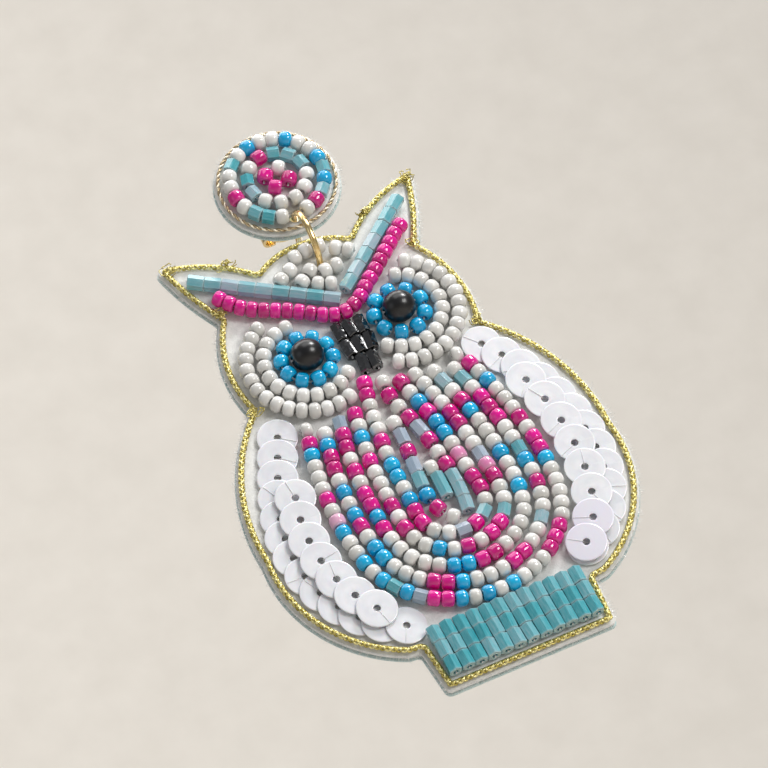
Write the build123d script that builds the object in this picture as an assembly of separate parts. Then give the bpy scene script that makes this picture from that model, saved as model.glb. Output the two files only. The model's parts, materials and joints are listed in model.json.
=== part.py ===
from build123d import *
import math
import os

# A bead-embroidered owl earring: a round beaded stud on an ear post, a jump ring, and an owl drop.
# Millimetres, as worn: X to the viewer's right, Z up, and the beaded fronts face -Y.
# The origin is on the ear post's axis, at the back face of the stud.
# Both beaded pieces are drawn on a craft plane: x right, y up, z out of the back face to the viewer.

# Cloth layers, from the back to the front
BACKING = 0.5
FELT = 0.8
FRONT = BACKING + FELT
SEAT = 0.03  # between the felt and what is sewn on it

# Couched gold cord
CORD_WIDTH = 0.8
CORD_HEIGHT = 0.8
STUD_FELT_EDGE = 0.5  # from the cord's centreline to the felt's edge
OWL_FELT_EDGE = 0.65
BACKING_EDGE = 0.2  # what the backing shows past the felt

# Seed beads, cut tubes, round beads and sequins
BEAD_RADIUS = 1.03
BEAD_LENGTH = 1.46
BEAD_HOLE = 0.4
BROW_BEAD_LENGTH = 1.2
TUBE_WIDTH = 1.62  # across the flats of the six-sided tube
TUBE_LENGTH = 2.02
SHORT_TUBE_LENGTH = 1.5
STUD_TUBE_LENGTH = 1.38
BREAST_TUBE_LENGTH = 1.8
LONG_TUBE_LENGTH = 3.1
TUBE_HOLE = 0.35
BEAK_WIDTH = 1.4
BEAK_LENGTH = 2.1
PUPIL_RADIUS = 2.0
PUPIL_LENGTH = 3.92  # along its hole, so that it is round
SEQUIN_RADIUS = 2.5
SEQUIN_HOLE = 0.45
SEQUIN_THICKNESS = 0.14
SEQUIN_TILT = 6  # degrees, each one leaning on the one above it
OUTER_SEQUIN_HEIGHT = 0.46
INNER_SEQUIN_HEIGHT = 1.22

# Stud, ear post and clutch
STUD_CORD_RADIUS = 7.3
STUD_ROWS = (5.85, 3.7, 1.5)
POST_RADIUS = 0.4
POST_LENGTH = 11.5
POST_GRIP = 6.5  # plain length of the post, up to its groove
GROOVE_LENGTH = 0.6
GROOVE_RADIUS = 0.24
PAD_RADIUS = 3.0
PAD_THICKNESS = 0.3
BOSS_RADIUS = 0.7
CLUTCH_Y = 7.3
CLUTCH_RADIUS = 2.8
CLUTCH_SHEET = 0.35
CLUTCH_BORE = 0.44
CURL_RADIUS = 1.15
CURL_WIDTH = 3.0

# Jump ring and its two holes
RING_RADIUS = 4.1
WIRE_RADIUS = 0.4
HOLE_RADIUS = 0.85
STUD_HOLE = 5.5  # below the post's axis
OWL_HOLE = (1.2, -2.5)
OWL_CENTRE_OF_MASS = (0.0, -34.0)

# Owl outline, right half: the centreline of the gold cord
CROWN_TOP = (0, 1.4)
CROWN_BEND = (3.3, 0.95)
NOTCH = (6.25, -0.6)
EAR_INNER = (10.0, 2.55)
EAR_TIP = (16.5, 5.0)
EAR_OUTER = (15.3, 1.0)
EAR_ROOT = (12.7, -4.6)
HEAD_SIDE = (15.45, -12.0)
NECK = (14.9, -18.2)
SHOULDER = (20.4, -26.0)
WING_SIDE = (22.5, -38.0)
WING_LOWER = (20.2, -49.2)
WING_END = (12.8, -56.0)
BASE_TOP = (10.9, -56.2)
BASE_CORNER = (10.4, -62.3)

# Eyes: centre, bead ring, then the white rows
LEFT_EYE = (-6.33, -14.6)
RIGHT_EYE = (6.7, -13.05)
EYE_RING = 3.12
LEFT_EYE_ROWS = (5.27, 7.42)
RIGHT_EYE_ROWS = (5.24, 7.36)

# Brow, beak and perch
LEFT_BROW = ((-13.8, 1.4), (0.2, -7.9))
RIGHT_BROW = ((2.95, -6.75), (13.1, 1.45))
PINK_BROW = ((-12.25, -2.1), (-9.5, -5.05), (-4.6, -7.7), (0.5, -10.4), (4.7, -8.0), (8.4, -4.95), (12.2, -1.75))
BEAK_X = 0.25
BEAK_PITCH = 1.5
BEAK_ROWS = ((-12.75, 3), (-15.4, 3), (-18.05, 2))
PERCH_ROWS = (-55.9, -58.12, -60.34)
PERCH_HALF = 9.25
PERCH_COUNT = 12

# Belly: six U-shaped rows, one inside another
BELLY_X = 0.2
BELLY_HALF = 13.1
BELLY_PITCH = 2.25
BELLY_SIDE_Z = -38.0
BELLY_SIDE_RISE = 25.7
BELLY_TURN_Z = -41.0
BELLY_DEPTH = 12.6
BELLY_DEPTH_PITCH = 2.3
BELLY_TOPS = ((-25.7, -23.6), (-25.2, -23.6), (-24.7, -22.9), (-24.3, -22.3), (-23.9, -22.5))
BELLY_STRAIGHTEN = 0.07  # how much less each inner row leans in at its top
BREAST_LEFT = ((-0.88, -27.4), (-0.95, -30.5), (-1.65, -36.5), (-1.5, -40.0), (-0.2, -42.2))
BREAST_RIGHT = ((1.9, -41.3), (2.2, -38.0), (2.1, -34.0), (1.9, -31.5), (1.3, -28.2), (0.5, -24.8), (0.45, -21.6))
BREAST_LONG_TUBE = (0.4, -37.7)
BREAST_BEAD = (0.3, -35.0)
BIB_PINK = ((-1.62, -20.8), (-2.05, -22.4))
THROAT_WHITE = ((-10.75, -23.75), (10.2, -21.85))

# Bead colours by letter: W white, P pink, L light pink, T turquoise, A aqua tube, G grey tube
BELLY_CHART = (
    "PTWWWPWLTWWTWTATGPPTWTWTWWWPPPWWWWWTPPWPWWWTWP",
    "WTPPWTWTPWTTWWWPPTWWWPPWWAWWPWTAWWPPPWAW",
    "GPPWPWPPTPWWWWWTTPPWWWWWTWWTWWWTPWAW",
    "PWTWPWWWPWPWWTWPWPPAWWPLGWWPPWWWW",
    "WWWPWTTWTPPWWGPAWPPWLWTTPTWP",
)
BREAST_CHARTS = ("WGPGATPW", "AAAPWPGPWPW")
STUD_CHART = ("WAAWPWWAWTWWTWWTATAPW", "PAAAWWWWWAAW", "WPPP")

# Wing rows: the line of sequin centres from the shoulder down, and how many
LEFT_OUTER_WING = ((-14.2, -22.9), (-17.0, -29.0), (-19.4, -36.5), (-19.2, -43.0), (-15.85, -49.8), (-11.6, -53.0))
LEFT_INNER_WING = ((-16.05, -31.9), (-17.15, -38.5), (-15.9, -46.0), (-13.9, -49.8))
RIGHT_OUTER_WING = ((13.75, -21.4), (17.35, -28.2), (19.45, -36.5), (19.0, -43.6), (15.85, -49.7), (12.4, -52.5))
RIGHT_INNER_WING = ((16.05, -28.8), (17.3, -36.0), (16.75, -43.5), (14.95, -48.9), (12.3, -52.3))

CROWN_ROWS = (
    ((-1.4, -0.55), (0.22, -0.2), 2),
    ((1.95, -0.2), (1.95, -0.2), 1),
    ((3.75, -1.35), (5.0, -2.3), 2),
    ((-4.3, -2.75), (-2.75, -2.0), 2),
    ((-2.05, -4.15), (-0.55, -3.1), 2),
    ((1.15, -3.85), (2.75, -3.75), 2),
    ((-0.45, -5.25), (0.98, -5.95), 2),
)


def bead(length, radius=BEAD_RADIUS):
    """A seed bead threaded along X: a round-walled ring."""
    half = length / 2
    wall = ThreePointArc((-half, BEAD_HOLE), (0, radius), (half, BEAD_HOLE))
    bore = Line((half, BEAD_HOLE), (-half, BEAD_HOLE))
    return revolve(make_face([wall, bore]), Axis.X)


def tube(length, width=TUBE_WIDTH):
    """A six-sided cut-glass tube threaded along X, with flats at its sides."""
    outline = RegularPolygon(width / 2, 6, major_radius=False, rotation=30)
    section = Plane.YZ * (outline - Circle(TUBE_HOLE))
    return extrude(section, length / 2, both=True)


def sequin():
    """A flat sequin with its centre hole."""
    return extrude(Circle(SEQUIN_RADIUS) - Circle(SEQUIN_HOLE), SEQUIN_THICKNESS / 2, both=True)


def along(path, count):
    """Evenly spaced stations on a path, from end to end: (x, y, direction in degrees)."""
    stations = []
    for i in range(count):
        t = i / (count - 1) if count > 1 else 0
        p = path.position_at(t)
        d = path.tangent_at(t)
        stations.append((p.X, p.Y, math.degrees(math.atan2(d.Y, d.X))))
    return stations


def straight(start, end, count):
    """Stations on a straight row. A row of one keeps its thread level."""
    if count == 1:
        return [(start[0], start[1], 0.0)]
    return along(Line(start, end), count)


def round_row(centre, radius, start, end, count):
    """Stations on an arc about a centre, from one angle to another in degrees."""
    stations = []
    for i in range(count):
        angle = start + (end - start) * i / (count - 1)
        x = centre[0] + radius * math.cos(math.radians(angle))
        y = centre[1] + radius * math.sin(math.radians(angle))
        stations.append((x, y, angle + 90))
    return stations


def full_ring(centre, radius, count, start=90):
    """Stations all round a circle, clockwise."""
    step = 360 / count
    return round_row(centre, radius, start, start - 360 + step, count)


def tube_rise(width=TUBE_WIDTH):
    """From the felt to the thread of a tube that lies with its flats at the sides."""
    return width / math.sqrt(3)


def sewn(piece, stations, height, turn=0):
    """Copies of a piece, lying on the felt at each station."""
    level = FRONT + SEAT + height
    return [Location((x, y, level), (0, 0, angle + turn)) * piece for x, y, angle in stations]


def belly_path(row):
    """The thread of one U-shaped row of the belly."""
    half = BELLY_HALF - BELLY_PITCH * row
    depth = BELLY_DEPTH - BELLY_DEPTH_PITCH * row
    left_top, right_top = BELLY_TOPS[row]

    def side(sign, z):
        round_share = math.sqrt(1 - ((z - BELLY_SIDE_Z) / BELLY_SIDE_RISE) ** 2)
        lean = BELLY_HALF * (1 - round_share) * (1 - BELLY_STRAIGHTEN * row)
        return (BELLY_X + sign * (half - lean), z)

    def turn(angle):
        x = BELLY_X + half * math.cos(math.radians(angle))
        return (x, BELLY_TURN_Z + depth * math.sin(math.radians(angle)))

    left = [side(-1, left_top), side(-1, (left_top + BELLY_SIDE_Z) / 2), side(-1, BELLY_SIDE_Z)]
    right = [side(1, BELLY_SIDE_Z), side(1, (right_top + BELLY_SIDE_Z) / 2), side(1, right_top)]
    bottom = [turn(angle) for angle in (210, 240, 270, 300, 330)]
    return Spline(*left, *bottom, *right)


def by_colour(stations, chart):
    """Groups the stations of a row by the chart's letters."""
    groups = {}
    for station, letter in zip(stations, chart):
        groups.setdefault(letter, []).append(station)
    return groups


def add_groups(total, groups):
    """Adds one row's colour groups to a running total."""
    for letter, stations in groups.items():
        total.setdefault(letter, []).extend(stations)


def owl_outline():
    """The face inside the centreline of the owl's gold cord."""
    crown = ThreePointArc(CROWN_TOP, CROWN_BEND, NOTCH)
    ear_inner = ThreePointArc(NOTCH, EAR_INNER, EAR_TIP)
    ear_outer = ThreePointArc(EAR_TIP, EAR_OUTER, EAR_ROOT)
    head = ThreePointArc(EAR_ROOT, HEAD_SIDE, NECK)
    wing_top = ThreePointArc(NECK, SHOULDER, WING_SIDE)
    wing_bottom = ThreePointArc(WING_SIDE, WING_LOWER, WING_END)
    wing_foot = Line(WING_END, BASE_TOP)
    base_side = Line(BASE_TOP, BASE_CORNER)
    base = Line(BASE_CORNER, (0, BASE_CORNER[1]))
    right = [crown, ear_inner, ear_outer, head, wing_top, wing_bottom, wing_foot, base_side, base]
    left = [mirror(edge, Plane.YZ) for edge in right]
    return make_face(right + left)


def layered(edge, hole, felt_edge):
    """Backing, felt and cord for an outline, with the jump ring's hole through the cloth."""
    felt_face = offset(edge, felt_edge)
    backing_face = offset(edge, felt_edge + BACKING_EDGE)
    drill = Pos(*hole, FRONT / 2) * Cylinder(HOLE_RADIUS, 3 * FRONT)
    backing = extrude(backing_face, BACKING) - drill
    felt = Pos(0, 0, BACKING) * extrude(felt_face, FELT) - drill
    band = offset(edge, CORD_WIDTH / 2) - offset(edge, -CORD_WIDTH / 2)
    cord = Pos(0, 0, FRONT) * extrude(band, CORD_HEIGHT)
    return backing, felt, cord


def stud_parts():
    """The beaded stud: cloth, gold cord and three rings of beads."""
    edge = make_face(Edge.make_circle(STUD_CORD_RADIUS))
    backing, felt, cord = layered(edge, (0, -STUD_HOLE), STUD_FELT_EDGE)
    pocket = Pos(0, 0, BACKING - PAD_THICKNESS / 2) * Cylinder(PAD_RADIUS, PAD_THICKNESS)
    boss_hole = Cylinder(BOSS_RADIUS, 3 * BACKING)
    backing = backing - pocket - boss_hole

    gap = 360 / (len(STUD_CHART[0]) + 1)
    outer = round_row((0, 0), STUD_ROWS[0], 270 - gap, gap - 90, len(STUD_CHART[0]))
    middle = full_ring((0, 0), STUD_ROWS[1], len(STUD_CHART[1]), 105)
    centre = full_ring((0, 0), STUD_ROWS[2], len(STUD_CHART[2]), 60)
    total = {}
    for stations, chart in zip((outer, middle, centre), STUD_CHART):
        add_groups(total, by_colour(stations, chart))
    return {
        "stud_backing": backing,
        "stud_felt": felt,
        "stud_gold_cord": cord,
        "stud_white_beads": sewn(bead(BEAD_LENGTH), total["W"], BEAD_RADIUS),
        "stud_pink_beads": sewn(bead(BEAD_LENGTH), total["P"], BEAD_RADIUS),
        "stud_turquoise_beads": sewn(bead(BEAD_LENGTH), total["T"], BEAD_RADIUS),
        "stud_aqua_tubes": sewn(tube(STUD_TUBE_LENGTH), total["A"], tube_rise()),
    }


def owl_cloth():
    """The drop's backing, felt and gold cord."""
    backing, felt, cord = layered(owl_outline(), OWL_HOLE, OWL_FELT_EDGE)
    return {"owl_backing": backing, "owl_felt": felt, "owl_gold_cord": cord}


def eye_parts(side, centre, rows, inner, outer, ring_count):
    """One eye: its pupil, turquoise ring and two white rows, each (start, end, count)."""
    white = bead(BEAD_LENGTH)
    return {
        f"{side}_pupil": sewn(bead(PUPIL_LENGTH, PUPIL_RADIUS), [(*centre, 0)], PUPIL_RADIUS),
        f"{side}_eye_turquoise_beads": sewn(white, full_ring(centre, EYE_RING, ring_count), BEAD_RADIUS),
        f"{side}_eye_white_inner_row": sewn(white, round_row(centre, rows[0], *inner), BEAD_RADIUS),
        f"{side}_eye_white_outer_row": sewn(white, round_row(centre, rows[1], *outer), BEAD_RADIUS),
    }


def head_parts():
    """Crown, brows and beak."""
    crown = []
    for start, end, count in CROWN_ROWS:
        crown += straight(start, end, count)
    pink = along(Spline(*PINK_BROW), 22)
    beak = []
    for z, count in BEAK_ROWS:
        reach = BEAK_PITCH * (count - 1) / 2
        beak += straight((BEAK_X - reach, z), (BEAK_X + reach, z), count)
    return {
        "crown_white_beads": sewn(bead(BEAD_LENGTH), crown, BEAD_RADIUS),
        "left_brow_aqua_tubes": sewn(tube(TUBE_LENGTH), straight(*LEFT_BROW, 9), tube_rise()),
        "right_brow_aqua_tubes": sewn(tube(TUBE_LENGTH), straight(*RIGHT_BROW, 7), tube_rise()),
        "brow_pink_beads": sewn(bead(BROW_BEAD_LENGTH), pink, BEAD_RADIUS),
        "beak_black_beads": sewn(tube(BEAK_LENGTH, BEAK_WIDTH), beak, tube_rise(BEAK_WIDTH), 90),
    }


def belly_parts():
    """The breast's five U-shaped rows and its centre, grouped by colour."""
    rows = {}
    for row, chart in enumerate(BELLY_CHART):
        add_groups(rows, by_colour(along(belly_path(row), len(chart)), chart))
    centre = {}
    for points, chart in zip((BREAST_LEFT, BREAST_RIGHT), BREAST_CHARTS):
        add_groups(centre, by_colour(along(Spline(*points), len(chart)), chart))
    names = {"W": "white", "P": "pink", "L": "light_pink", "T": "turquoise"}
    parts = {}
    for letter, colour in names.items():
        stations = rows[letter] + centre.get(letter, [])
        parts[f"belly_{colour}_beads"] = sewn(bead(BEAD_LENGTH), stations, BEAD_RADIUS)
    parts["belly_pink_beads"] += sewn(bead(BEAD_LENGTH), straight(*BIB_PINK, 2), BEAD_RADIUS)
    level = [(x, z, 0) for x, z in (*THROAT_WHITE, BREAST_BEAD)]
    parts["belly_white_beads"] += sewn(bead(BEAD_LENGTH), level, BEAD_RADIUS)
    for letter, colour in {"A": "aqua", "G": "grey"}.items():
        short = sewn(tube(SHORT_TUBE_LENGTH), rows[letter], tube_rise())
        parts[f"belly_{colour}_tubes"] = short + sewn(tube(BREAST_TUBE_LENGTH), centre[letter], tube_rise())
    long_tube = tube(LONG_TUBE_LENGTH)
    parts["belly_aqua_tubes"] += sewn(long_tube, [(*BREAST_LONG_TUBE, 90)], tube_rise())
    return parts


def perch_parts():
    """Three rows of upright tubes under the wings."""
    parts = {}
    for name, z in zip(("top", "middle", "bottom"), PERCH_ROWS):
        row = straight((-PERCH_HALF, z), (PERCH_HALF, z), PERCH_COUNT)
        parts[f"perch_tubes_{name}_row"] = sewn(tube(TUBE_LENGTH), row, tube_rise(), 90)
    return parts


def wing_row(points, count, height):
    """Sequins down a wing, each tipped so that its upper edge clears the one above."""
    tipped = Rot(0, SEQUIN_TILT, 0) * sequin()
    return sewn(tipped, along(Spline(*points), count), height)


def wing_parts():
    """Both wings: an outer row at the edge and an inner row that overlaps it."""
    return {
        "left_wing_outer_sequins": wing_row(LEFT_OUTER_WING, 13, OUTER_SEQUIN_HEIGHT),
        "left_wing_inner_sequins": wing_row(LEFT_INNER_WING, 7, INNER_SEQUIN_HEIGHT),
        "right_wing_outer_sequins": wing_row(RIGHT_OUTER_WING, 13, OUTER_SEQUIN_HEIGHT),
        "right_wing_inner_sequins": wing_row(RIGHT_INNER_WING, 8, INNER_SEQUIN_HEIGHT),
    }


def ear_post():
    """The pad glued between the stud's layers, and the post that runs back along +Y."""
    profile = Polyline(
        (0, PAD_THICKNESS - BACKING),
        (0, -BACKING),
        (PAD_RADIUS, -BACKING),
        (PAD_RADIUS, PAD_THICKNESS - BACKING),
        (BOSS_RADIUS, PAD_THICKNESS - BACKING),
        (BOSS_RADIUS, 0),
        (POST_RADIUS, 0),
        (POST_RADIUS, POST_GRIP),
        (GROOVE_RADIUS, POST_GRIP),
        (GROOVE_RADIUS, POST_GRIP + GROOVE_LENGTH),
        (POST_RADIUS, POST_GRIP + GROOVE_LENGTH),
        (POST_RADIUS, POST_LENGTH - POST_RADIUS),
        (GROOVE_RADIUS / 2, POST_LENGTH),
        (0, POST_LENGTH),
        close=True,
    )
    return revolve(make_face(profile), Axis.Y)


def jump_ring():
    """A round wire ring in the YZ plane, through both holes."""
    centre = Pos(0, -FRONT / 2, -STUD_HOLE - RING_RADIUS)
    return centre * Rot(0, 90, 0) * Torus(RING_RADIUS, WIRE_RADIUS)


def butterfly_clutch():
    """A friction clutch: a dished disc and two curled wings that grip the post."""
    disc = Pos(0, 0, CLUTCH_SHEET / 2) * Cylinder(CLUTCH_RADIUS, CLUTCH_SHEET)
    curl = Circle(CURL_RADIUS) - Circle(CURL_RADIUS - CLUTCH_SHEET)
    opening = Pos(-CURL_RADIUS, CURL_RADIUS / 2) * Rectangle(CURL_RADIUS, CURL_RADIUS)
    wing = extrude(Plane.XZ * (curl - opening), CURL_WIDTH / 2, both=True)
    lift = CLUTCH_SHEET / 2 + CURL_RADIUS
    right = Pos(CURL_RADIUS + POST_RADIUS, 0, lift) * wing
    body = disc + right + mirror(right, Plane.YZ)
    body -= Cylinder(CLUTCH_BORE, 6 * CURL_RADIUS)
    return Pos(0, CLUTCH_Y, 0) * Rot(-90, 0, 0) * body


def drop_plane():
    """The owl's craft plane, turned so that its centre of mass hangs under the ring's hole."""
    across = OWL_CENTRE_OF_MASS[0] - OWL_HOLE[0]
    down = OWL_HOLE[1] - OWL_CENTRE_OF_MASS[1]
    tilt = math.atan2(-across, down)
    x_axis = Vector(math.cos(tilt), 0, math.sin(tilt))
    y_axis = Vector(-math.sin(tilt), 0, math.cos(tilt))
    hole = Vector(0, 0, -STUD_HOLE - 2 * RING_RADIUS)
    origin = hole - x_axis * OWL_HOLE[0] - y_axis * OWL_HOLE[1]
    return Plane(origin=origin, x_dir=x_axis, z_dir=(0, -1, 0))


def placed(parts, plane):
    """Moves craft-plane parts to where they hang."""
    out = {}
    for name, shape in parts.items():
        group = Compound(shape) if isinstance(shape, list) else shape
        out[name] = plane.location * group
    return out


def write(parts):
    """One STEP file for each named part."""
    os.makedirs("parts", exist_ok=True)
    for name, shape in parts.items():
        export_step(shape, f"parts/{name}.step")


stud = placed(stud_parts(), Plane.XZ)
stud["ear_post"] = ear_post()

owl = owl_cloth()
owl.update(eye_parts("left", LEFT_EYE, LEFT_EYE_ROWS, (95, 312, 13), (119, 288, 15), 10))
owl.update(eye_parts("right", RIGHT_EYE, RIGHT_EYE_ROWS, (70, -131, 12), (59, -116, 15), 9))
owl.update(head_parts())
owl.update(belly_parts())
owl.update(perch_parts())
owl.update(wing_parts())
drop = placed(owl, drop_plane())

write(stud)
write(drop)
write({"jump_ring": jump_ring(), "butterfly_clutch": butterfly_clutch()})
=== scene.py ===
import json
import math
import random

import bpy
import numpy as np
from mathutils import Matrix, Vector
from mathutils.geometry import delaunay_2d_cdt


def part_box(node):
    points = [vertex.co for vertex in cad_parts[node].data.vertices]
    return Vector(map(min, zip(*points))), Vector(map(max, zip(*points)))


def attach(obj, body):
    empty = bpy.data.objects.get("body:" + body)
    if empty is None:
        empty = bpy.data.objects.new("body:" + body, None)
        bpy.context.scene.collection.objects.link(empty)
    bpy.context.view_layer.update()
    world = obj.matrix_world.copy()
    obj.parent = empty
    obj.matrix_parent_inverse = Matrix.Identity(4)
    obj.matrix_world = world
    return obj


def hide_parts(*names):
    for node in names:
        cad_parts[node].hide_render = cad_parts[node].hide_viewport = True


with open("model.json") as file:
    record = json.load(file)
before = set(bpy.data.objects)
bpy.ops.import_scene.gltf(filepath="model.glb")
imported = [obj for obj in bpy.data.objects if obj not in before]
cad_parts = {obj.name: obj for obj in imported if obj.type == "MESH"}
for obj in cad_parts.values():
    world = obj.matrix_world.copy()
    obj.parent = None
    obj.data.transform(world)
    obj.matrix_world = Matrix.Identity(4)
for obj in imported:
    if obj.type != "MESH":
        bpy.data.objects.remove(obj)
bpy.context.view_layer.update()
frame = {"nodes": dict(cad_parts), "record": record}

# A bead-embroidered owl earring. Metres, Z up, and its beaded fronts face -Y.
# Sizes without MM are in millimetres.
MM = 0.001
OUT = Vector((0, -1, 0))  # from the cloth to the viewer
HANG_TILT = math.atan2(1.2, 31.5)  # how far the owl leans, about the Y axis
OWL_HOLE = Vector((1.2, 0, -2.5)) * MM
FRONT = -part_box("owl_felt")[0].y  # the felt's front face, in front of y = 0

# Cross-sections of the beads, in millimetres
BEAD_RADIUS, BEAD_HOLE = 1.03, 0.36
TUBE_FLATS, BEAK_FLATS, TUBE_HOLE = 1.62, 1.4, 0.34
PUPIL_RADIUS, PUPIL_HALF = 2.0, 1.96
SEQUIN_RADIUS, SEQUIN_HOLE, SEQUIN_THICKNESS = 2.5, 0.45, 0.14


# ---------------------------------------------------------------- CAD readings

def node_mesh(node):
    """A CAD node's welded vertices and its triangles."""
    mesh = frame["nodes"][node].data
    co = np.empty(len(mesh.vertices) * 3, np.float32)
    mesh.vertices.foreach_get("co", co)
    mesh.calc_loop_triangles()
    tri = np.empty(len(mesh.loop_triangles) * 3, np.int32)
    mesh.loop_triangles.foreach_get("vertices", tri)
    points, same = np.unique(np.round(co.reshape(-1, 3).astype(float), 7), axis=0, return_inverse=True)
    return points, same.ravel()[tri].reshape(-1, 3)


def islands(node):
    """The vertices of each separate solid in a CAD node."""
    points, tri = node_mesh(node)
    label = np.arange(len(points))
    while True:
        low = label[tri].min(1)
        new = label.copy()
        for k in range(3):
            np.minimum.at(new, tri[:, k], low)
        new = new[new]
        if (new == label).all():
            return [points[label == k] for k in np.unique(label)]
        label = new


def lying(points, flats=None):
    """Centre, thread direction and length of a bead that lies on the cloth.

    A bead is shortest along its thread. A tube's width is known, so its other side is its length."""
    angle = np.radians(np.arange(0, 180, 0.5))
    ways = np.stack([np.cos(angle), 0 * angle, np.sin(angle)])
    reach = points @ ways
    size = reach.max(0) - reach.min(0)
    best = int(size.argmin())
    square = (best + 180) % 360
    if flats and abs(size[best] - flats * MM) < abs(size[square] - flats * MM):
        best, square = square, best
    along, across = Vector(ways[:, best]), Vector(ways[:, square])
    mid = (reach.max(0) + reach.min(0)) / 2
    height = (points[:, 1].max() + points[:, 1].min()) / 2
    centre = along * mid[best] + across * mid[square] + Vector((0, height, 0))
    return centre, along, size[best]


def flat_loops(node, behind=False):
    """The border loops of a CAD node's front or back face, longest first, as arrays of (x, z)."""
    points, tri = node_mesh(node)
    level = points[:, 1].max() if behind else points[:, 1].min()
    flat = tri[(abs(points[tri][:, :, 1] - level) < 1e-6).all(1)]
    edges = {}
    for a, b, c in flat:
        for edge in ((a, b), (b, c), (c, a)):
            edges[edge] = True
    follow = {a: b for a, b in edges if (b, a) not in edges}
    loops = []
    while follow:
        start = min(follow)
        loop = [start]
        step = follow.pop(start)
        while step != start:
            loop.append(step)
            step = follow.pop(step)
        loops.append(points[loop][:, [0, 2]])
    return sorted(loops, key=perimeter, reverse=True)


def perimeter(loop):
    return np.linalg.norm(loop - np.roll(loop, 1, 0), axis=1).sum()


def area_of(loop):
    x, z = loop[:, 0], loop[:, 1]
    return abs((x * np.roll(z, -1) - z * np.roll(x, -1)).sum()) / 2


def resample(loop, step):
    """A closed loop as evenly spaced points."""
    closed = np.vstack([loop, loop[:1]])
    run = np.concatenate([[0], np.cumsum(np.linalg.norm(np.diff(closed, axis=0), axis=1))])
    count = max(8, round(run[-1] / step))
    at = np.arange(count) * run[-1] / count
    return np.stack([np.interp(at, run, closed[:, k]) for k in range(2)], 1)


def inside(loop, points):
    """Which points lie inside a loop."""
    x, z = points[:, :1], points[:, 1:]
    ax, az = loop[:, 0], loop[:, 1]
    bx, bz = np.roll(ax, -1), np.roll(az, -1)
    crosses = ((az > z) != (bz > z)) & (x < (bx - ax) * (z - az) / (bz - az + 1e-15) + ax)
    return crosses.sum(1) % 2 == 1


def owl_point(x, height, z):
    """A point of the owl's craft plane, in the row frame: x right, height above the felt, z up."""
    lean = Matrix.Rotation(-HANG_TILT, 3, "Y")
    low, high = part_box("jump_ring")
    hole = Vector((0, 0, low.z + high.x))  # high.x is the wire's radius
    local = Vector((x, 0, z)) * MM - OWL_HOLE
    return hole + lean @ local + Vector((0, -FRONT - height * MM, 0))


# ---------------------------------------------------------------- mesh making

class Heap:
    """Collects the faces of one piece, with a vector for its material at each vertex."""

    def __init__(self):
        self.verts, self.faces, self.info, self.smooth, self.count = [], [], [], [], 0

    def add(self, verts, faces, info, smooth=True):
        self.verts.append(np.asarray(verts, float))
        self.info.append(np.asarray(info, float))
        self.faces += [[i + self.count for i in face] for face in faces]
        self.smooth += [smooth] * len(faces)
        self.count += len(verts)

    def piece(self, name, material, body, slot=None, nodes=()):
        """Makes the object, in place, riding on its body."""
        mesh = bpy.data.meshes.new(name)
        mesh.from_pydata(np.vstack(self.verts).tolist(), [], self.faces)
        mesh.attributes.new("craft", "FLOAT_VECTOR", "POINT").data.foreach_set(
            "vector", np.vstack(self.info).astype(np.float32).ravel())
        mesh.polygons.foreach_set("use_smooth", self.smooth)
        mesh.materials.append(material)
        mesh.validate()
        obj = bpy.data.objects.new(name, mesh)
        bpy.context.scene.collection.objects.link(obj)
        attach(obj, body)
        if nodes:
            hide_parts(*nodes)
        return obj


def lathe(profile, count, facets=0.0):
    """A closed profile of (along, radius, facet share) turned about X: vertices, faces, craft vectors.

    Where the facet share is 1 the section is a hexagon with its flats at the sides."""
    verts, info = [], []
    for i in range(count):
        angle = 2 * math.pi * (i + facets) / count
        hexagon = 1 / math.cos((angle + math.pi / 6) % (math.pi / 3) - math.pi / 6)
        for x, r, share in profile:
            radius = r * (1 + share * (hexagon - 1))
            verts.append((x * MM, radius * math.cos(angle) * MM, radius * math.sin(angle) * MM))
            info.append((x, angle / (2 * math.pi), 0))
    n = len(profile)
    faces = []
    for i in range(count):
        j = (i + 1) % count
        for k in range(n):
            m = (k + 1) % n
            faces.append((i * n + k, j * n + k, j * n + m, i * n + m))
    return np.array(verts), faces, np.array(info)


def bead_profile(half, radius, hole, corner):
    """A seed bead's wall: a rounded outside and a straight bore."""
    steps = 12
    wall = []
    for i in range(steps + 1):
        t = math.pi * i / steps
        c, s = math.cos(t), math.sin(t)
        x = -half * math.copysign(abs(c) ** corner, c)
        wall.append((x, hole + (radius - hole) * abs(s) ** corner, 0))
    return wall + [(half * 0.5, hole * 0.93, 0), (-half * 0.5, hole * 0.93, 0)]


def tube_profile(half, radius, hole, nick=0.07):
    """A cut tube's wall: flat sides, broken edges and a round bore."""
    outer = [(-half, radius - nick, 1), (-half + nick, radius, 1), (0, radius, 1), (half - nick, radius, 1)]
    return outer + [(half, radius - nick, 1), (half, hole, 0), (0, hole, 0), (-half, hole, 0)]


def frame_matrix(centre, along, out=OUT):
    """Local X to the thread, local Z out of the cloth."""
    x = along.normalized()
    z = (out - x * out.dot(x)).normalized()
    y = z.cross(x)
    return Matrix.Translation(centre) @ Matrix((x, y, z)).transposed().to_4x4()


def placed(verts, matrix):
    m = np.array(matrix)
    return verts @ m[:3, :3].T + m[:3, 3]


def ring_faces(rings, size, closed):
    """Quads between rings of vertices, one ring after another."""
    faces = []
    for i in range(rings if closed else rings - 1):
        j = (i + 1) % rings
        for k in range(size):
            m = (k + 1) % size
            faces.append((i * size + k, i * size + m, j * size + m, j * size + k))
    return faces


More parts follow.
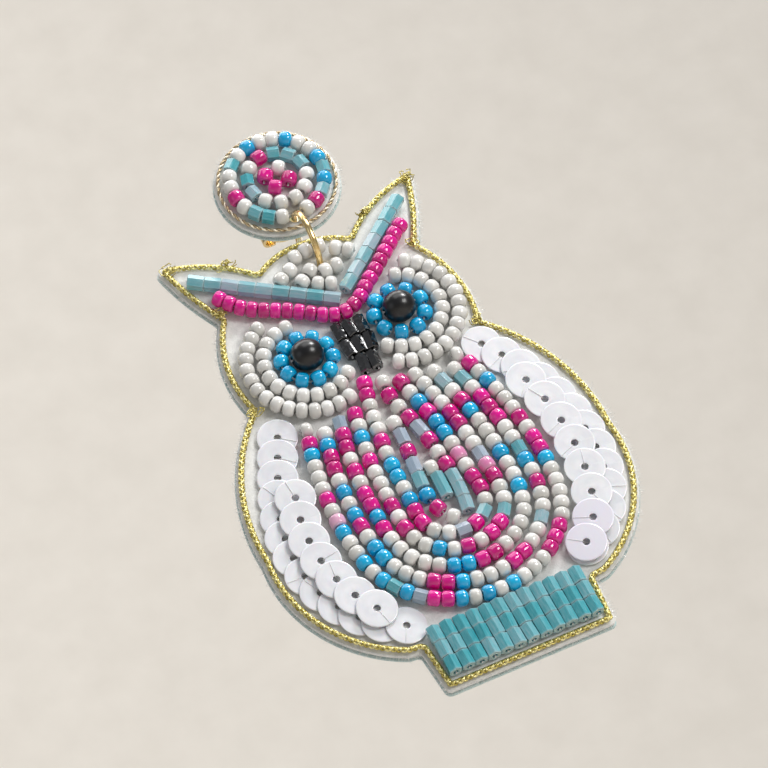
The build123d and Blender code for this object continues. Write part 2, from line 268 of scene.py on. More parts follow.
def strand(heap, centres, normals, widths, size=6, closed=False, tone=0.5, squash=1.0):
    """A thread through the centres; widths are radii in metres, normals point out of the cloth."""
    centres, normals = np.asarray(centres, float), np.asarray(normals, float)
    if closed:
        way = np.roll(centres, -1, 0) - np.roll(centres, 1, 0)
    else:
        way = np.gradient(centres, axis=0)
    way /= np.linalg.norm(way, axis=1)[:, None] + 1e-12
    side = np.cross(way, normals)
    side /= np.linalg.norm(side, axis=1)[:, None] + 1e-12
    up = np.cross(side, way)
    run = np.concatenate([[0], np.cumsum(np.linalg.norm(np.diff(centres, axis=0), axis=1))]) / MM
    verts, info = [], []
    for i, (c, s, u) in enumerate(zip(centres, side, up)):
        for k in range(size):
            a = 2 * math.pi * k / size
            verts.append(c + widths[i] * (s * math.cos(a) + u * squash * math.sin(a)))
            info.append((run[i], k / size, tone))
    faces = ring_faces(len(centres), size, closed)
    if not closed:
        last = (len(centres) - 1) * size
        faces.append(tuple(range(size)))
        faces.append(tuple(last + k for k in reversed(range(size))))
    heap.add(verts, faces, info)


# ---------------------------------------------------------------- materials

class Look:
    """A Principled material and short calls to build its nodes."""

    def __init__(self, name, **sockets):
        self.mat = bpy.data.materials.new(name)
        self.mat.use_nodes = True
        self.tree = self.mat.node_tree
        self.shader = self.tree.nodes["Principled BSDF"]
        for key, value in sockets.items():
            self.shader.inputs[key.replace("_", " ")].default_value = value

    def node(self, kind, inputs=(), **settings):
        made = self.tree.nodes.new(kind)
        for key, value in settings.items():
            setattr(made, key, value)
        for key, value in dict(inputs).items():
            if isinstance(value, bpy.types.NodeSocket):
                self.tree.links.new(value, made.inputs[key])
            else:
                made.inputs[key].default_value = value
        return made

    def craft(self, stretch=(1, 1, 1)):
        """The craft vector, (millimetres along, share of a turn, tone), stretched; and the tone."""
        read = self.node("ShaderNodeAttribute", attribute_name="craft")
        parts = self.node("ShaderNodeSeparateXYZ", {0: read.outputs["Vector"]})
        return self.stretched(read.outputs["Vector"], stretch), parts.outputs["Z"]

    def stretched(self, vector, factors):
        return self.node("ShaderNodeVectorMath", {0: vector, 1: factors}, operation="MULTIPLY").outputs[0]

    def along(self):
        """From -1 to 1 between the two ends of a bead."""
        read = self.node("ShaderNodeAttribute", attribute_name="craft")
        return self.node("ShaderNodeSeparateXYZ", {0: read.outputs["Vector"]}).outputs["X"]

    def place(self):
        return self.node("ShaderNodeTexCoord").outputs["Object"]

    def noise(self, vector, scale, detail=2.0, roughness=0.5):
        made = self.node("ShaderNodeTexNoise", {"Vector": vector, "Scale": scale, "Detail": detail,
                                                "Roughness": roughness})
        return made.outputs["Fac"]

    def ramp(self, value, *stops):
        """Stops are (position, colour)."""
        made = self.node("ShaderNodeValToRGB", {"Fac": value})
        ramp = made.color_ramp
        while len(ramp.elements) < len(stops):
            ramp.elements.new(0.5)
        for element, (position, colour) in zip(ramp.elements, stops):
            element.position = position
            element.color = (*colour, 1)
        return made.outputs["Color"]

    def math(self, operation, a, b):
        return self.node("ShaderNodeMath", {0: a, 1: b}, operation=operation).outputs[0]

    def mix(self, share, a, b, blend="MIX"):
        made = self.node("ShaderNodeMix", data_type="RGBA", blend_type=blend)
        for key, value in ((0, share), (6, a), (7, b)):
            if isinstance(value, bpy.types.NodeSocket):
                self.tree.links.new(value, made.inputs[key])
            else:
                made.inputs[key].default_value = value
        return made.outputs[2]

    def to(self, socket, value):
        self.tree.links.new(value, self.shader.inputs[socket])

    def bump(self, height, distance, strength=1.0):
        made = self.node("ShaderNodeBump", {"Height": height, "Distance": distance, "Strength": strength})
        self.to("Normal", made.outputs["Normal"])


def glass_bead(name, dark, bright, rim, painted_rim_light_share=0.5, **sockets):
    """Seed-bead glass: a tone for each bead, a rim towards its holes painted paler as painted light, and a
    faint mottle.
    """
    look = Look(name, **sockets)
    vector, tone = look.craft()
    shifted = look.stretched(vector, (1.0, 3.0, 37.0))
    mottle = look.noise(shifted, 1.6, 2)
    value = look.math("ADD", look.math("MULTIPLY", tone, 0.75), look.math("MULTIPLY", mottle, 0.3))
    body = look.ramp(value, (0.1, dark), (0.9, bright))
    # painted light: towards both ends the colour is mixed into the paler rim colour, a painted brightening
    # where light gathers in the glass at the holes
    end = look.math("POWER", look.math("ABSOLUTE", look.along(), 0.0), 4.0)
    look.to("Base Color", look.mix(look.math("MULTIPLY", end, painted_rim_light_share), body, (*rim, 1)))
    look.bump(look.noise(shifted, 2, 1), 0.01 * MM, 0.25)
    return look


def cut_glass(name, stops, end_light_colour, **sockets):
    """Cut-tube glass: lengthwise drawn streaks that also carry painted streak highlights, a tone for each
    tube, and ends painted pale as painted light gathered at the cut edges.
    """
    look = Look(name, **sockets)
    streak_vector, tone = look.craft((0.35, 9.0, 53.0))
    # the streak noise paints both the glass's drawn striations and painted streak highlights into the base
    # colour
    streak = look.noise(streak_vector, 2.2, 3, 0.6)
    value = look.math("ADD", look.math("MULTIPLY", tone, 0.8), look.math("MULTIPLY", streak, 0.7))
    body = look.ramp(look.math("SUBTRACT", value, 0.27), *stops)
    # painted light: towards both ends the colour is mixed into the pale end colour, a painted glint where
    # light gathers at the cut edges
    end = look.math("POWER", look.math("ABSOLUTE", look.along(), 0.0), 12.0)
    look.to("Base Color", look.mix(look.math("MULTIPLY", end, 0.75), body, (*end_light_colour, 1)))
    look.to("Roughness", look.math("ADD", look.math("MULTIPLY", streak, 0.22), 0.03))
    look.bump(streak, 0.03 * MM, 0.5)
    return look


def broken_glass(name):
    """Black cut glass: a mosaic of tiny facets that glitter."""
    look = Look(name, Roughness=0.06, IOR=1.7, Coat_Weight=1.0,
                Coat_Roughness=0.02)
    chips = look.node("ShaderNodeTexVoronoi", {"Vector": look.place(), "Scale": 1900.0})
    spread = chips.outputs["Distance"]
    look.to("Base Color", look.ramp(spread, (0.1, (0.0, 0.0, 0.0)), (0.8, (0.006, 0.006, 0.007))))
    look.bump(spread, 0.09 * MM, 0.7)
    return look


def metal_thread(name, dark, mid, bright):
    """Metallised thread: fine twisted filaments, with painted glints on the bright turns and painted shade in
    the dark gaps between them.
    """
    look = Look(name, Metallic=0.9, Roughness=0.34)
    vector, tone = look.craft((5.0, 9.0, 3.0))
    fibre_light_and_shade = look.noise(vector, 1.6, 3, 0.6)
    value = look.math("ADD", look.math("MULTIPLY", fibre_light_and_shade, 0.9), look.math("MULTIPLY", tone, 0.25))
    # painted glints and painted shade: the base colour runs from near-black olive in the gaps to pale gold on
    # the turns that catch the light
    look.to("Base Color", look.ramp(value, (0.3, dark), (0.52, mid), (0.75, bright)))
    look.bump(fibre_light_and_shade, 0.06 * MM, 0.8)
    return look


def cloth_look(name, dark, bright, grain, bump, **sockets):
    """Felt or suede: matted fibres at two scales."""
    look = Look(name, Roughness=0.92, **sockets)
    place = look.place()
    coarse = look.noise(place, grain, 4, 0.65)
    fine = look.noise(place, grain * 5, 3, 0.7)
    value = look.math("ADD", look.math("MULTIPLY", coarse, 0.6), look.math("MULTIPLY", fine, 0.4))
    look.to("Base Color", look.ramp(value, (0.3, dark), (0.7, bright)))
    look.bump(value, bump, 0.8)
    return look


def plain_metal(name, dark, bright, roughness):
    """Plated wire and sheet: faint drawing marks."""
    look = Look(name, Metallic=1.0)
    mark = look.noise(look.place(), 2500, 3, 0.6)
    look.to("Base Color", look.ramp(mark, (0.35, dark), (0.65, bright)))
    look.to("Roughness", look.math("ADD", look.math("MULTIPLY", mark, 0.12), roughness))
    look.bump(mark, 0.01 * MM, 0.3)
    return look


LOOKS = {
    # each glass bead's third colour is its rim colour, painted light at its ends
    "white_pearl_glass": glass_bead(
        "pearl", (0.62, 0.61, 0.58), (0.80, 0.79, 0.765), (0.70, 0.69, 0.66), Roughness=0.10, Coat_Weight=0.9,
        Coat_Roughness=0.03, Subsurface_Weight=0.3, Subsurface_Scale=0.5 * MM,
        Subsurface_Radius=(1.0, 0.95, 0.9)),
    "turquoise_glass": glass_bead(
        "turquoise", (0.0, 0.33, 0.64), (0.0, 0.46, 0.80), (0.01, 0.56, 0.88), 0.4,
        Roughness=0.12, Coat_Weight=0.8, Coat_Roughness=0.03),
    "magenta_glass": glass_bead(
        "magenta", (0.62, 0.0, 0.20), (0.96, 0.0, 0.38), (1.0, 0.16, 0.58), 0.4,
        Roughness=0.05, Coat_Weight=0.8, Coat_Roughness=0.02, Transmission_Weight=0.25, IOR=1.5),
    "light_pink_glass": glass_bead(
        "light_pink", (0.88, 0.22, 0.52), (0.95, 0.55, 0.75), (1.0, 0.80, 0.88), 0.6, Roughness=0.08,
        Coat_Weight=0.7, Transmission_Weight=0.25, IOR=1.5),
    # the colour after each cut glass's ramp stops is painted light, a glint at the tube ends
    "aqua_cut_glass": cut_glass(
        "aqua", ((0.02, (0.02, 0.36, 0.44)), (0.3, (0.09, 0.52, 0.60)), (0.55, (0.25, 0.62, 0.70)),
                 (0.8, (0.48, 0.68, 0.76)), (1.0, (0.62, 0.68, 0.82))), (0.72, 0.88, 0.90),
        Transmission_Weight=0.35, IOR=1.52, Coat_Weight=0.7, Coat_Roughness=0.03),
    "grey_cut_glass": cut_glass(
        "grey", ((0.1, (0.24, 0.36, 0.46)), (0.5, (0.42, 0.54, 0.66)), (0.9, (0.64, 0.72, 0.84))),
        (0.80, 0.86, 0.92), Transmission_Weight=0.35, IOR=1.52, Coat_Weight=0.7, Coat_Roughness=0.03),
    "black_cut_glass": broken_glass("black_cut"),
    "black_bead": glass_bead(
        "pupil", (0.001, 0.001, 0.0015), (0.003, 0.003, 0.004), (0.006, 0.006, 0.007), 0.3, Roughness=0.3,
        Coat_Weight=0.2, Coat_Roughness=0.12),
    # the two cords' dark and bright colours are painted shade and painted glints
    "gold_cord": metal_thread("gold_cord", (0.10, 0.075, 0.01), (0.60, 0.49, 0.12), (1.0, 0.92, 0.48)),
    "pale_gold_cord": metal_thread(
        "pale_gold_cord", (0.20, 0.13, 0.06), (0.66, 0.52, 0.32), (0.98, 0.90, 0.74)),
    "white_felt": cloth_look(
        "felt", (0.66, 0.66, 0.64), (0.90, 0.90, 0.88), 1200, 0.12 * MM, Sheen_Weight=0.3),
    "backing_suede": cloth_look(
        "suede", (0.42, 0.56, 0.55), (0.66, 0.79, 0.78), 900, 0.08 * MM, Sheen_Weight=0.25),
    "ring_gold": plain_metal("ring_gold", (0.90, 0.62, 0.24), (1.0, 0.80, 0.42), 0.1),
    "post_metal": plain_metal("post_metal", (0.70, 0.54, 0.26), (0.95, 0.80, 0.48), 0.12),
}


def sequin_look():
    """White satin film: faint mottle, and a lilac one where the tone is high."""
    look = Look("sequin", Roughness=0.26, Coat_Weight=0.35, Coat_Roughness=0.12, Subsurface_Weight=0.1,
                Subsurface_Scale=0.3 * MM)
    vector, tone = look.craft((0.5, 3, 1))
    cool = look.ramp(look.noise(vector, 1.5, 2), (0.3, (0.74, 0.75, 0.79)), (0.7, (0.84, 0.84, 0.87)))
    look.to("Base Color", look.mix(look.math("GREATER_THAN", tone, 0.95), cool, (0.76, 0.74, 0.82, 1)))
    return look


def thread_look(name, dark, bright, roughness):
    look = Look(name, Roughness=roughness, Coat_Weight=0.2)
    vector, _ = look.craft((4, 6, 2))
    look.to("Base Color", look.ramp(look.noise(vector, 2, 2), (0.3, dark), (0.7, bright)))
    return look


LOOKS["white_sequin"] = sequin_look()
THREAD = thread_look("white_thread", (0.70, 0.70, 0.70), (0.92, 0.92, 0.92), 0.5).mat
FIBRE = thread_look("felt_fibre", (0.74, 0.74, 0.72), (0.95, 0.95, 0.93), 0.9).mat

SLOTS = {row["node"]: row["material_slot"] for row in frame["record"]["subparts"]}
BODIES = {node: body for body, nodes in frame["record"]["behaviour"]["bodies"].items() for node in nodes}


# ---------------------------------------------------------------- beads

def read_beads():
    """Every bead and tube that lies on the cloth: {node: [centre, thread direction, half length]}.

    Each grows a little towards its neighbours on the same thread, as beads pulled snug do."""
    found = {}
    for node in sorted(SLOTS):
        if "glass" in SLOTS[node]:
            flats = None
            if SLOTS[node].endswith("cut_glass"):
                flats = BEAK_FLATS if "beak" in node else TUBE_FLATS
            found[node] = [lying(points, flats) for points in islands(node)]
    for body in ("stud", "drop"):
        rows = [row for node in found if BODIES[node] == body for row in found[node]]
        centres = np.array([row[0] for row in rows])
        halves = np.array([row[2] / 2 for row in rows])
        grown = halves.copy()
        for i, (centre, along, length) in enumerate(rows):
            apart = centres - np.array(centre)
            distance = np.linalg.norm(apart, axis=1)
            in_line = np.abs(apart @ np.array(along)) > 0.86 * distance
            near = in_line & (distance > 0) & (distance < 3 * MM)
            if near.any():
                gap = (distance - halves - halves[i])[near].min()
                grown[i] = halves[i] + min(max(gap / 2 - 0.01 * MM, 0), 0.16 * halves[i])
        for row, half in zip(rows, grown):
            GROWN[tuple(row[0])] = half
    return found


GROWN = {}


def jittered(rng, centre, along, turn, shift):
    """A bead's frame, knocked a little off true, as hand sewing leaves it."""
    place = frame_matrix(centre, along)
    knock = Matrix.Rotation(rng.gauss(0, turn), 4, "Z") @ Matrix.Rotation(rng.gauss(0, turn * 0.6), 4, "Y")
    nudge = Matrix.Translation((0, rng.uniform(-shift, shift) * MM, rng.uniform(-shift, shift) * MM))
    return place @ nudge @ knock


def thread_stub(heap, place, half, radius=0.13):
    """The thread where it shows at both ends of a bead."""
    ends = [place @ Vector((x * MM, 0, 0)) for x in (-half, -half / 3, half / 3, half)]
    strand(heap, ends, [OUT] * 4, [radius * MM] * 4)


def seed_beads(node, rng, threads, corner):
    """Detailed seed beads in place of a CAD node of them."""
    heap = Heap()
    for centre, along, _ in FOUND[node]:
        half = GROWN[tuple(centre)] / MM * rng.uniform(0.96, 1.0)
        radius = BEAD_RADIUS * rng.uniform(0.955, 1.0)
        verts, faces, info = lathe(bead_profile(half, radius, BEAD_HOLE, corner), 24)
        info[:, 0] /= half
        info[:, 2] = rng.random()
        place = jittered(rng, centre, along, 0.06, 0.04)
        heap.add(placed(verts, place), faces, info)
        thread_stub(threads, frame_matrix(centre, along), half + 0.16)
    return finished(heap, node)


def cut_tubes(node, rng, threads, tones, flats=TUBE_FLATS, turn=0.02):
    """Detailed cut tubes in place of a CAD node of them."""
    heap = Heap()
    for centre, along, _ in FOUND[node]:
        half = GROWN[tuple(centre)] / MM * rng.uniform(0.985, 1.0)
        radius = flats / 2 * rng.uniform(0.96, 0.995)
        verts, faces, info = lathe(tube_profile(half, radius, TUBE_HOLE), 30, 0.5)
        skew = rng.uniform(-0.06, 0.06)
        verts[:, 0] += skew * verts[:, 1] + rng.uniform(-0.04, 0.04) * verts[:, 2]
        info[:, 0] /= half
        info[:, 2] = rng.uniform(*tones)
        heap.add(placed(verts, jittered(rng, centre, along, turn, 0.015)), faces, info, smooth=False)
        thread_stub(threads, frame_matrix(centre, along), half + 0.12)
    return finished(heap, node)


def finished(heap, node):
    slot = SLOTS[node]
    return heap.piece(node + "_detail", LOOKS[slot].mat, BODIES[node], slot, [node])


def pupil(node, rng, threads):
    """A large round bead, threaded across the cloth."""
    points = islands(node)[0]
    centre = Vector((points.max(0) + points.min(0)) / 2)
    along = Matrix.Rotation(-HANG_TILT, 3, "Y") @ Vector((1, 0, 0))
    heap = Heap()
    verts, faces, info = lathe(bead_profile(PUPIL_HALF, PUPIL_RADIUS, BEAD_HOLE, 1.0), 48)
    info[:, 0] /= PUPIL_HALF
    info[:, 2] = rng.random()
    heap.add(placed(verts, frame_matrix(centre, along)), faces, info)
    thread_stub(threads, frame_matrix(centre, along), PUPIL_HALF + 0.2)
    return finished(heap, node)


def sequins(node, rng, threads, lilac=0):
    """Flat sequins, faintly buckled, each held by a thread from its hole over its edge."""
    heap = Heap()
    found = islands(node)
    found.sort(key=lambda points: points[:, 2].mean())
    for index, points in enumerate(found):
        centre = Vector((points.max(0) + points.min(0)) / 2)
        normal = Vector(np.linalg.svd(points - np.array(centre))[2][2])
        if normal.dot(OUT) < 0:
            normal = -normal
        along = (Vector((0, 0, 1)) - normal * normal.z).normalized()
        half = SEQUIN_THICKNESS / 2
        rim = 0.04
        radii = (SEQUIN_HOLE, SEQUIN_HOLE + 0.06, 0.75, 1.3, 1.9, 2.3, SEQUIN_RADIUS - rim)
        front = [(half - (0.02 if i == 0 else 0), r, 0) for i, r in enumerate(radii)]
        back = [(-half, r, 0) for r in reversed(radii)]
        wall = front + [(half - rim, SEQUIN_RADIUS, 0), (-half + rim, SEQUIN_RADIUS, 0)] + back
        verts, faces, info = lathe(wall, 48)
        angle = np.arctan2(verts[:, 2], verts[:, 1])
        share = np.hypot(verts[:, 1], verts[:, 2]) / (SEQUIN_RADIUS * MM)
        phase = rng.uniform(0, 6.28)
        verts[:, 0] += share ** 2 * 0.05 * MM * np.cos(2 * angle + phase) * rng.uniform(0.3, 1)
        info[:, 2] = 1.0 if index < lilac else 0.9 * rng.random()
        info[:, 0] = 3 * share + 9 * rng.random()
        info[:, 1] += rng.random()
        place = frame_matrix(centre, normal, along)
        heap.add(placed(verts, place), faces, info)
        stitch(threads, place, rng.uniform(0, 2 * math.pi))
    return finished(heap, node)


def stitch(threads, place, angle):
    """The clear thread that comes up through a sequin's hole and goes down over its rim."""
    points = []
    for lift, reach in ((-0.1, 0.3), (0.11, 0.4), (0.12, 1.4), (0.11, 2.35), (-0.2, 2.56)):
        points.append(place @ (Vector((lift, reach * math.cos(angle), reach * math.sin(angle))) * MM))
    out = place.to_3x3() @ Vector((1, 0, 0))
    strand(threads, points, [out] * len(points), [0.035 * MM] * len(points), size=5)


# ---------------------------------------------------------------- cloth

TRIM = 0.12 * MM  # the outer edge is cut this far inside the CAD sheet's
FIBRES_PER_MM = 9


def cloth(node, material_name, spacing, dome, wobble):
    """A flat cut sheet with a soft rounded edge and an uneven face."""
    loops = flat_loops(node, behind=True)  # the front of the stud's backing is cut for the post's pad
    low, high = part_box(node)
    front, back = low.y, high.y
    borders = [resample(loops[0], spacing)] + [resample(loop, spacing / 2) for loop in loops[1:]]
    borders[0] = borders[0] - outward_of(borders[0]) * TRIM
    grid = []
    step = spacing * 1.6
    row = 0
    z = low.z
    while z < high.z:
        x = low.x + (step / 2 if row % 2 else 0)
        while x < high.x:
            grid.append((x, z))
            x += step
        z += step * 0.866
        row += 1
    grid = np.array(grid)
    keep = inside(borders[0], grid)
    for hole in borders[1:]:
        keep &= ~inside(hole, grid)
    grid = grid[keep]
    edge = np.vstack(borders)
    gap = np.full(len(grid), 1.0)
    for start in range(0, len(edge), 200):
        part = edge[start:start + 200]
        gap = np.minimum(gap, np.linalg.norm(grid[:, None] - part[None], axis=2).min(1))
    grid = grid[gap > spacing * 0.8]
    links, start = [], 0
    for border in borders:
        n = len(border)
        links += [(start + i, start + (i + 1) % n) for i in range(n)]
        start += n
    flat = [Vector(p) for p in np.vstack([edge, grid])]
    points, _, faces, origin, _, _ = delaunay_2d_cdt(flat, links, [], 1, 1e-7)
    points = np.array([tuple(p) for p in points])
    centres = np.array([points[list(face)].mean(0) for face in faces])
    keep = np.ones(len(faces), bool)
    for hole in borders[1:]:
        keep &= ~inside(hole, centres)
    faces = [tuple(face) for face, kept in zip(faces, keep) if kept]
    n = len(points)
    on_edge = {}
    for index, from_list in enumerate(origin):
        for k in from_list:
            if k < len(edge):
                on_edge[k] = index
    wave = np.array([math.sin(900 * x + 3 * math.sin(700 * z)) * math.sin(800 * z + 2 * math.sin(600 * x))
                     for x, z in points])
    border_index = set(on_edge.values())
    top = np.column_stack([points[:, 0], np.full(n, front), points[:, 1]])
    bottom = np.column_stack([points[:, 0], np.full(n, back), points[:, 1]])
    inner = np.array([i not in border_index for i in range(n)])
    top[inner, 1] += wobble * (1 + wave[inner]) / 2
    top[~inner, 1] += dome
    bottom[~inner, 1] -= dome
    clockwise = []
    for a, b, c in faces:
        ab, ac = points[b] - points[a], points[c] - points[a]
        turn = ab[0] * ac[1] - ab[1] * ac[0]
        clockwise.append((a, b, c) if turn > 0 else (a, c, b))
    heap = Heap()
    verts = np.vstack([top, bottom])
    all_faces = list(clockwise) + [(n + a, n + c, n + b) for a, b, c in clockwise]
    extra = []
    count = 2 * n
    start = 0
    for border in borders:
        m = len(border)
        ahead, behind = np.roll(border, -1, 0), np.roll(border, 1, 0)
        way = ahead - behind
        way /= np.linalg.norm(way, axis=1)[:, None] + 1e-12
        sign = 1 if signed_area(border) > 0 else -1
        if border is not borders[0]:
            sign = -sign
        outward = sign * np.stack([way[:, 1], -way[:, 0]], 1)
        rings = [[on_edge[start + i] for i in range(m)]]
        for share in (0.25, 0.5, 0.75):
            swell = dome * (0.5 if share != 0.5 else 0.7)
            flat_ring = border + outward * swell
            level = np.full(m, front + (back - front) * share)
            ring = np.column_stack([flat_ring[:, 0], level, flat_ring[:, 1]])
            extra.append(ring)
            rings.append([count + i for i in range(m)])
            count += m
        rings.append([n + on_edge[start + i] for i in range(m)])
        for upper, lower in zip(rings, rings[1:]):
            for i in range(m):
                j = (i + 1) % m
                quad = (upper[i], lower[i], lower[j], upper[j])
                all_faces.append(quad if signed_area(border) > 0 else tuple(reversed(quad)))
        start += m
    verts = np.vstack([verts] + extra)
    info = np.column_stack([verts[:, 0] / MM, verts[:, 2] / MM, np.full(len(verts), 0.5)])
    heap.add(verts, all_faces, info)
    made = heap.piece(node + "_detail", LOOKS[material_name].mat, BODIES[node], material_name, [node])
    area = area_of(loops[0]) - sum(area_of(loop) for loop in loops[1:])
    return made, (high.x - low.x, high.z - low.z), area


def signed_area(loop):
    x, z = loop[:, 0], loop[:, 1]
    return (x * np.roll(z, -1) - z * np.roll(x, -1)).sum() / 2


def edge_fuzz(heap, loop, y_low, y_high, outward, count, length, radius, rng):
    """Loose fibres that stand out of a cut edge."""
    n = len(loop)
    for _ in range(count):
        i = rng.randrange(n)
        base = Vector((loop[i][0], rng.uniform(y_low, y_high), loop[i][1]))
        way = Vector((outward[i][0], 0, outward[i][1]))
        side = Vector((-way.z, 0, way.x))
        reach = length * rng.uniform(0.3, 1.0)
        lean = side * rng.uniform(-0.9, 0.9) + OUT * rng.uniform(-0.5, 0.8)
        curl = side * rng.uniform(-0.7, 0.7) + OUT * rng.uniform(-0.5, 0.5)
        points = []
        for t in (-0.15, 0.3, 0.65, 1.0):
            points.append(base + (way * t + lean * (t * 0.6) + curl * (t * t * 0.6)) * reach)
        taper = [radius * (1.1 - t) for t in (0, 0.3, 0.6, 0.9)]
        strand(heap, points, [OUT] * 4, taper, size=3, tone=rng.random())


def outward_of(loop):
    way = np.roll(loop, -1, 0) - np.roll(loop, 1, 0)
    way /= np.linalg.norm(way, axis=1)[:, None] + 1e-12
    sign = 1 if signed_area(loop) > 0 else -1
    return sign * np.stack([way[:, 1], -way[:, 0]], 1)


# ---------------------------------------------------------------- cord

def cord_line(node, step):
    """The centreline of a couched cord: midway between the two borders of its CAD band."""
    outer, inner = flat_loops(node)
    line = resample(outer, step)
    close = resample(inner, step / 2)
    nearest = np.array([close[np.linalg.norm(close - p, axis=1).argmin()] for p in line])
    return resample((line + nearest) / 2, step)


def braid(heap, line, y, half_width, lift, radius, pitch, strands, wave=2):
    """Strands that cross over and under one another along a closed line."""
    side = outward_of(line)
    turns = round(perimeter(line) / pitch)
    for k in range(strands):
        phase = 2 * math.pi * (np.arange(len(line)) * turns / len(line) + k / strands)
        offset = half_width * np.sin(phase)
        height = lift * np.cos(wave * phase)
        flat = line + side * offset[:, None]
        centres = np.column_stack([flat[:, 0], y - height, flat[:, 1]])
        strand(heap, centres, [OUT] * len(line), [radius] * len(line), size=7, closed=True,
               tone=k / (strands - 1), squash=0.8)


FRAYS = ((-16.0, 4.7, 9), (-9.3, 2.6, 7), (-12.9, -3.9, 8), (16.2, 4.6, 10), (9.4, 2.4, 7), (12.8, -4.3, 5),
         (-14.8, -18.3, 6), (14.8, -18.0, 5))  # (x, z, loops) on the owl, where the cord turns


def fray(heap, spot, count, rng):
    """Small loops and loose ends of the cord's gold filament, bunched where it was turned."""
    for _ in range(count):
        middle = spot + Vector((rng.gauss(0, 0.3), rng.uniform(-0.25, 0.2), rng.gauss(0, 0.3))) * MM
        first = rng.uniform(0, 2 * math.pi)
        reach = rng.uniform(0.35, 0.85) * MM
        points = []
        for k in range(9):
            a = first + k * rng.uniform(0.45, 0.75)
            swing = Vector((math.cos(a), 0.45 * math.sin(1.7 * a), math.sin(a)))
            points.append(middle + swing * (reach * (0.7 + 0.3 * math.cos(2 * a))))
        strand(heap, points, [OUT] * 9, [0.07 * MM] * 9, size=5, tone=rng.random())


# ---------------------------------------------------------------- the pieces

rng = random.Random(20261117)
FOUND = read_beads()
threads = {"stud": Heap(), "drop": Heap()}
CORNERS = {"white_pearl_glass": 0.86, "turquoise_glass": 0.8, "magenta_glass": 0.56, "light_pink_glass": 0.6}
TONES = {  # the lowest and highest tone of each node's tubes
    "stud_aqua_tubes": (0.25, 0.8),
    "left_brow_aqua_tubes": (0.45, 1.0),
    "right_brow_aqua_tubes": (0.4, 0.95),
    "belly_aqua_tubes": (0.25, 0.9),
    "belly_grey_tubes": (0.1, 0.9),
    "perch_tubes_top_row": (0.25, 0.65),
    "perch_tubes_middle_row": (0.15, 0.6),
    "perch_tubes_bottom_row": (0.2, 0.65),
}
for node in sorted(SLOTS):
    slot, body = SLOTS[node], BODIES[node]
    if node == "beak_black_beads":
        cut_tubes(node, rng, threads[body], (0, 1), BEAK_FLATS, 0.08)
    elif node.endswith("tubes") or node.startswith("perch"):
        cut_tubes(node, rng, threads[body], TONES[node])
    elif node.endswith("sequins"):
        sequins(node, rng, threads[body], 2 if node == "right_wing_inner_sequins" else 0)
    elif node.endswith("pupil"):
        pupil(node, rng, threads[body])
    elif "beads" in node or node.endswith("row"):
        seed_beads(node, rng, threads[body], CORNERS[SLOTS[node]])

for body, heap in threads.items():
    heap.piece(body + "_bead_threads", THREAD, body)

for name in ("owl", "stud"):
    body = BODIES[name + "_felt"]
    back_cloth, flat, area = cloth(
        name + "_backing", "backing_suede", spacing=0.5 * MM, dome=0.12 * MM, wobble=0.04 * MM)
    felt, felt_flat, felt_area = cloth(
        name + "_felt", "white_felt", spacing=0.45 * MM, dome=0.2 * MM, wobble=0.08 * MM)
    loop = resample(flat_loops(name + "_felt")[0], 0.2 * MM)
    low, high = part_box(name + "_felt")
    fuzz = Heap()
    count = round(perimeter(loop) / MM * FIBRES_PER_MM)
    edge_fuzz(fuzz, loop, low.y, high.y, outward_of(loop), count,
              length=0.85 * MM, radius=0.028 * MM, rng=rng)
    fuzz_piece = fuzz.piece(name + "_felt_fuzz", FIBRE, body)

owl_cord = Heap()
line = cord_line("owl_gold_cord", 0.11 * MM)
low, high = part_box("owl_gold_cord")
braid(owl_cord, line, (low.y + high.y) / 2, half_width=0.24 * MM, lift=0.12 * MM, radius=0.165 * MM,
      pitch=1.9 * MM, strands=3)
finished(owl_cord, "owl_gold_cord")

stud_cord = Heap()
line = cord_line("stud_gold_cord", 0.11 * MM)
low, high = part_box("stud_gold_cord")
braid(stud_cord, line, high.y - 0.3 * MM, half_width=0.13 * MM, lift=0.13 * MM, radius=0.14 * MM,
      pitch=1.5 * MM, strands=2, wave=1)
finished(stud_cord, "stud_gold_cord")

tufts = Heap()
for x, z, count in FRAYS:
    fray(tufts, owl_point(x, 0.5, z), count, rng)
tufts.piece("owl_cord_frays", LOOKS["gold_cord"].mat, "drop", "gold_cord")

for node in ("jump_ring", "ear_post", "butterfly_clutch"):
    shown = frame["nodes"][node]
    shown.data.materials.clear()
    shown.data.materials.append(LOOKS[SLOTS[node]].mat)


# ---------------------------------------------------------------- stage, light and camera

def cove():
    """A pale floor that curves up into a wall, well clear of the object."""
    floor_z, wall_y, bend, half = -0.7, 2.0, 0.8, 4.0
    profile = [(-3.0, floor_z)]
    for i in range(13):
        a = math.pi / 2 * i / 12
        profile.append((wall_y - bend + bend * math.sin(a), floor_z + bend - bend * math.cos(a)))
    profile.append((wall_y, 4.0))
    verts = [(x, y, z) for y, z in profile for x in (-half, half)]
    faces = [(2 * i, 2 * i + 1, 2 * i + 3, 2 * i + 2) for i in range(len(profile) - 1)]
    mesh = bpy.data.meshes.new("cove")
    mesh.from_pydata(verts, [], faces)
    mesh.polygons.foreach_set("use_smooth", [True] * len(faces))
    look = Look("cove", Roughness=0.9)
    look.to("Base Color", look.ramp(look.noise(look.place(), 40, 4), (0.3, (0.86, 0.815, 0.745)),
                                    (0.7, (0.91, 0.865, 0.795))))
    mesh.materials.append(look.mat)
    obj = bpy.data.objects.new("cove", mesh)
    bpy.context.scene.collection.objects.link(obj)


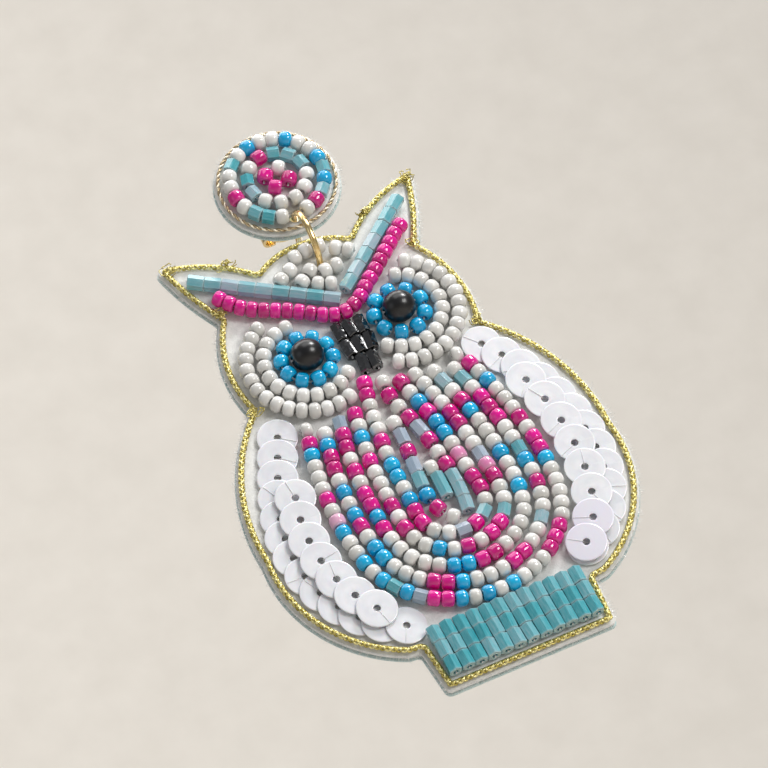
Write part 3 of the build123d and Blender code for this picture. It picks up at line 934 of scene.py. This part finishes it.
def camera():
    """The viewpoint: from the front and below on the left, rolled, through a long lens."""
    lean = Matrix.Rotation(-HANG_TILT, 3, "Y")
    away = lean @ Vector((-0.236, -0.839, -0.491)).normalized()
    right = lean @ Vector((0.901, 0, -0.434))
    right = (right - away * right.dot(away)).normalized()
    up = away.cross(right)
    data = bpy.data.cameras.new("camera")
    data.lens = 260
    data.sensor_width = 36
    data.clip_start = 0.01
    frame_width = 92.5 * MM
    target = owl_point(0.77, 0, -21.2)
    obj = bpy.data.objects.new("camera", data)
    spot = target + away * (frame_width * data.lens / data.sensor_width)
    obj.matrix_world = Matrix.Translation(spot) @ Matrix((right, up, away)).transposed().to_4x4()
    bpy.context.scene.collection.objects.link(obj)
    bpy.context.scene.camera = obj
    return target, right, up, away


def lamp(name, place, target, size, power, colour):
    data = bpy.data.lights.new(name, "AREA")
    data.shape = "SQUARE"
    data.size = size
    data.energy = power
    data.color = colour
    obj = bpy.data.objects.new(name, data)
    obj.location = place
    obj.rotation_euler = (target - place).to_track_quat("-Z", "Y").to_euler()
    bpy.context.scene.collection.objects.link(obj)


cove()
target, right, up, away = camera()
lamp("key", target + (right * 0.62 + up * 0.72 + away * 0.7) * 0.6, target, 0.26, 2.1, (1.0, 0.985, 0.96))
lamp("fill", target + (-right * 0.9 + up * 0.1 + away * 0.7) * 0.7, target, 0.5, 0.35, (0.94, 0.97, 1.0))
lamp("top", target + (up * 1.0 + away * 0.15 - right * 0.2) * 0.6, target, 0.35, 0.8, (1.0, 1.0, 1.0))
half_way = (OUT + up * 0.30 + right * 0.24).normalized()
spark = half_way * (2 * half_way.dot(away)) - away  # where a bead tipped that way mirrors the camera's ray
lamp("spark", target + spark * 0.6, target, 0.14, 2.1, (1.0, 1.0, 1.0))
lamp("back", Vector((0.3, 0.6, 0.35)), Vector((0, 0, -0.03)), 0.4, 2.5, (1.0, 0.98, 0.96))
lamp("wall", Vector((0, 0.2, 1.6)), Vector((0, 1.8, 0.3)), 1.6, 25.0, (1.0, 0.98, 0.95))

world = bpy.data.worlds.new("studio")
world.use_nodes = True
world.node_tree.nodes["Background"].inputs["Color"].default_value = (0.93, 0.95, 1.0, 1)
world.node_tree.nodes["Background"].inputs["Strength"].default_value = 0.28
bpy.context.scene.world = world
bpy.context.scene.view_settings.view_transform = "Standard"
